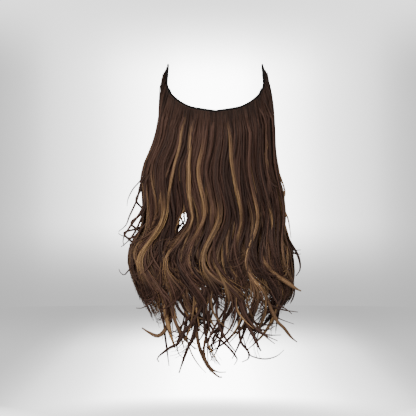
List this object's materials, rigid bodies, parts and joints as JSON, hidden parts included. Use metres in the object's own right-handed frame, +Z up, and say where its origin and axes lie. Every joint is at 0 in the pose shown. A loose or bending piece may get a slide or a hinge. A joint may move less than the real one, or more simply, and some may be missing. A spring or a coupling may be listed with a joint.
{
  "type": "one-piece clip-in hair extension",
  "caption": "U-shaped one-piece clip-in hair extension: a bound band that curves round the back of the head, with long loose waves of brown hair.",
  "frame": {"origin": "the middle of the band's inner face at its top edge, where the piece sits on the back of the head", "axes": "+Z up as worn, +Y into the head, +X to the right seen from behind the wearer; the hair's outer face looks towards -Y"},
  "size_m": [0.2759, 0.1134, 0.4905],
  "materials": {
    "hair": "glossy wavy hair, dark brown with golden streaks",
    "band": "stitched dark woven band",
    "binding": "black wound thread",
    "clip": "satin black coated steel"
  },
  "bodies": {
    "root": {"weft_band": "band", "edge_binding": "binding", "tip_loop_left": "binding", "tip_loop_right": "binding", "snap_clip_1": "clip", "snap_clip_2": "clip", "snap_clip_3": "clip", "snap_clip_4": "clip", "snap_clip_5": "clip", "tress_1": "hair", "tress_2": "hair", "tress_3": "hair", "tress_4": "hair", "tress_5": "hair", "tress_6": "hair", "tress_7": "hair", "tress_8": "hair", "tress_9": "hair"}
  },
  "joints": []
}
